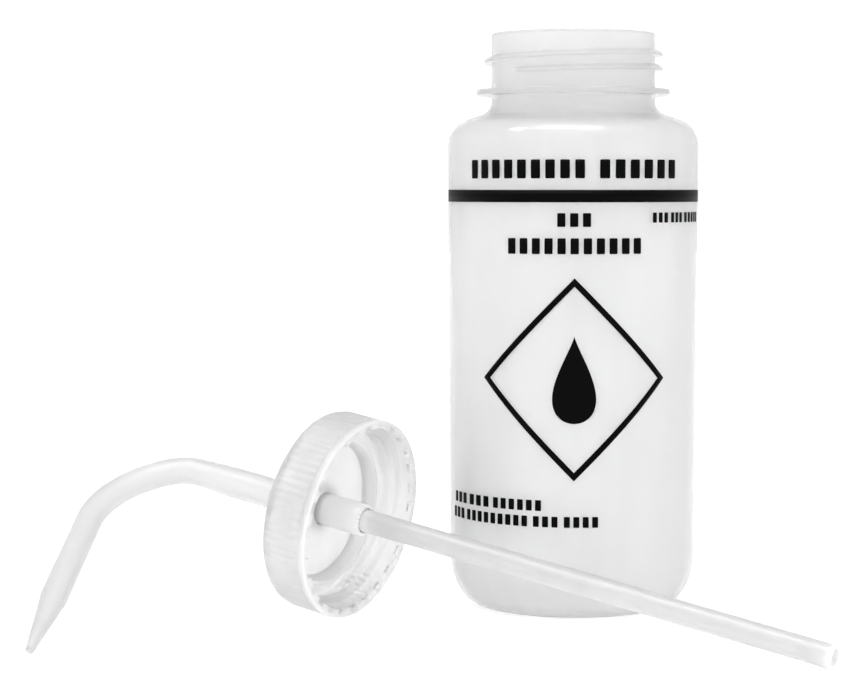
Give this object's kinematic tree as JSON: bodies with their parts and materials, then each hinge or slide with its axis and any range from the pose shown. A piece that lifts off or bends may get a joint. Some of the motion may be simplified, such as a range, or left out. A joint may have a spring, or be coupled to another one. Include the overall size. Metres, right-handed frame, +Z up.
{
  "type": "wash bottle",
  "caption": "Wide-mouth squeeze wash bottle standing open, with its ribbed screw cap, bent tapered spout and straight dip tube laid in front of it.",
  "frame": {"origin": "centre of the bottle's flat base, on the surface it stands on", "axes": "+Z up along the bottle's axis, the printed side faces -Y, and the spout's tip lies towards -X"},
  "size_m": [0.2141, 0.1425, 0.1696],
  "materials": {
    "bottle": "natural LDPE, blow-moulded, milky translucent",
    "screw_cap": "natural polypropylene, injection-moulded, translucent",
    "spout": "natural LDPE, moulded, milky translucent",
    "dip_tube": "natural LDPE, extruded, milky translucent",
    "label_ink": "black screen-print ink"
  },
  "bodies": {
    "bottle": {"bottle": "bottle"},
    "spout": {"spout": "spout"},
    "screw_cap": {"screw_cap": "screw_cap"},
    "dip_tube": {"dip_tube": "dip_tube"}
  },
  "joints": [
    {"name": "closure_lift", "type": "slide", "parent": "bottle", "child": "spout", "axis": [0, 0, 1], "range_m": [0, 0.2]},
    {"name": "cap_turn", "type": "hinge", "parent": "spout", "child": "screw_cap", "pos_m": [-0.07452, -0.02055, 0.03138], "axis": [0.8441, -0.5072, -0.1737], "continuous": true},
    {"name": "dip_tube_pull", "type": "slide", "parent": "spout", "child": "dip_tube", "axis": [0.8441, -0.5072, -0.1737], "range_m": [0, 0.012]}
  ]
}
